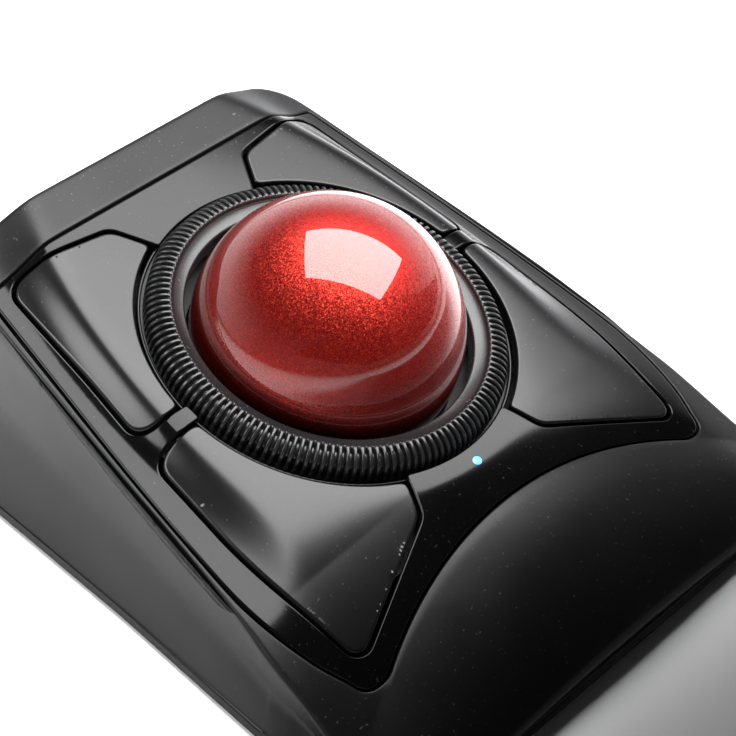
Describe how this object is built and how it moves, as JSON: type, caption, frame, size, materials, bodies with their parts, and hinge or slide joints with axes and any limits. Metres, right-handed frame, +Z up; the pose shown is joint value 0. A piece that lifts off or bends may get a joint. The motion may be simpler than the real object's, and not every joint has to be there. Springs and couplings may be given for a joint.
{
  "type": "trackball pointing device",
  "caption": "Wide low pointing device with a big red ball, a knurled scroll ring round it and large glossy buttons in a tilted deck.",
  "frame": {"origin": "on the table under the centre of the ball, which is the middle of the base", "axes": "+X to the user's right, +Y away from the user along the case, +Z up"},
  "size_m": [0.13, 0.1561, 0.0655],
  "materials": {
    "housing_matt": "fine satin texture, near-black",
    "gloss_black": "high gloss",
    "button_gloss": "high gloss, dark grey",
    "ring_satin": "smooth satin",
    "ball_red": "red metal-flake under a clear coat",
    "inner_plastic": "plain moulded",
    "white_plastic": "plain moulded",
    "steel": "bright turned",
    "zinc_screw": "zinc plated",
    "bearing_ceramic": "polished",
    "board_green": "solder mask over glass fibre",
    "chip_black": "moulded epoxy",
    "switch_black": "moulded",
    "lamp_blue": "lit blue",
    "clear_plastic": "clear moulded",
    "cell_can": "plain printed sleeve, no text",
    "contact_nickel": "nickel plated spring sheet",
    "foot_rubber": "matt rubber"
  },
  "bodies": {
    "case": {"housing_shell": "housing_matt", "base_tray": "housing_matt", "rubber_feet": "foot_rubber", "battery_cells": "cell_can", "battery_contacts": "contact_nickel", "deck_plate": "gloss_black", "chassis": "inner_plastic", "button_pins": "steel", "ball_cup": "inner_plastic", "support_bearings": "bearing_ceramic", "ring_guide": "inner_plastic", "ring_sensor": "chip_black", "main_board": "board_green", "switch_bodies": "switch_black", "status_led": "lamp_blue", "light_pipe": "clear_plastic", "sensor_lens": "clear_plastic", "optical_sensor": "chip_black", "sensor_board": "board_green", "control_board": "board_green", "slide_switch": "switch_black", "tact_switch": "switch_black", "case_screws": "zinc_screw", "deck_screws": "zinc_screw", "board_screws": "zinc_screw", "cup_screws": "zinc_screw", "control_screws": "zinc_screw", "sensor_screws": "zinc_screw"},
    "ball": {"trackball": "ball_red"},
    "ring": {"scroll_ring": "ring_satin", "code_disc": "inner_plastic"},
    "door": {"battery_door": "housing_matt"},
    "mode_knob": {"mode_slider": "white_plastic"},
    "pair_knob": {"pair_button": "white_plastic"},
    "button_front_left": {"button_front_left": "button_gloss"},
    "plunger_front_left": {"switch_plunger_front_left": "white_plastic"},
    "button_front_right": {"button_front_right": "button_gloss"},
    "plunger_front_right": {"switch_plunger_front_right": "white_plastic"},
    "button_back_left": {"button_back_left": "button_gloss"},
    "plunger_back_left": {"switch_plunger_back_left": "white_plastic"},
    "button_back_right": {"button_back_right": "button_gloss"},
    "plunger_back_right": {"switch_plunger_back_right": "white_plastic"}
  },
  "joints": [
    {"name": "ball_roll", "type": "hinge", "parent": "case", "child": "ball", "pos_m": [0, 0, 0.038], "axis": [1, 0, 0], "continuous": true},
    {"name": "ring_turn", "type": "hinge", "parent": "case", "child": "ring", "pos_m": [0, 0, 0.038], "axis": [0, -0.309, 0.9511], "continuous": true},
    {"name": "button_front_left_press", "type": "hinge", "parent": "case", "child": "button_front_left", "pos_m": [0, -0.03887, 0.01843], "axis": [-1, 0, 0], "range_deg": [0, 2], "stiffness_Nm_per_rad": 0.9},
    {"name": "plunger_front_left_travel", "type": "slide", "parent": "case", "child": "plunger_front_left", "axis": [0, 0.309, -0.9511], "range_m": [0, 0.000491]},
    {"name": "button_front_right_press", "type": "hinge", "parent": "case", "child": "button_front_right", "pos_m": [0, -0.03887, 0.01843], "axis": [-1, 0, 0], "range_deg": [0, 2], "stiffness_Nm_per_rad": 0.9},
    {"name": "plunger_front_right_travel", "type": "slide", "parent": "case", "child": "plunger_front_right", "axis": [0, 0.309, -0.9511], "range_m": [0, 0.000491]},
    {"name": "button_back_left_press", "type": "hinge", "parent": "case", "child": "button_back_left", "pos_m": [0, 0.04292, 0.04501], "axis": [1, 0, 0], "range_deg": [0, 2], "stiffness_Nm_per_rad": 0.9},
    {"name": "plunger_back_left_travel", "type": "slide", "parent": "case", "child": "plunger_back_left", "axis": [0, 0.309, -0.9511], "range_m": [0, 0.000491]},
    {"name": "button_back_right_press", "type": "hinge", "parent": "case", "child": "button_back_right", "pos_m": [0, 0.04292, 0.04501], "axis": [1, 0, 0], "range_deg": [0, 2], "stiffness_Nm_per_rad": 0.9},
    {"name": "plunger_back_right_travel", "type": "slide", "parent": "case", "child": "plunger_back_right", "axis": [0, 0.309, -0.9511], "range_m": [0, 0.000491]},
    {"name": "battery_door_lift", "type": "slide", "parent": "case", "child": "door", "axis": [0, 0, -1], "range_m": [0, 0.012]},
    {"name": "mode_slide", "type": "slide", "parent": "case", "child": "mode_knob", "axis": [1, 0, 0], "range_m": [-0.0025, 0.0025]},
    {"name": "pair_press", "type": "slide", "parent": "case", "child": "pair_knob", "axis": [0, 0, 1], "range_m": [0, 0.0005], "stiffness_N_per_m": 600}
  ],
  "couplings": [
    {"joint": "plunger_front_left_travel", "follows": "button_front_left_press", "m_per_rad": 0.014},
    {"joint": "plunger_front_right_travel", "follows": "button_front_right_press", "m_per_rad": 0.014},
    {"joint": "plunger_back_left_travel", "follows": "button_back_left_press", "m_per_rad": 0.014},
    {"joint": "plunger_back_right_travel", "follows": "button_back_right_press", "m_per_rad": 0.014}
  ]
}
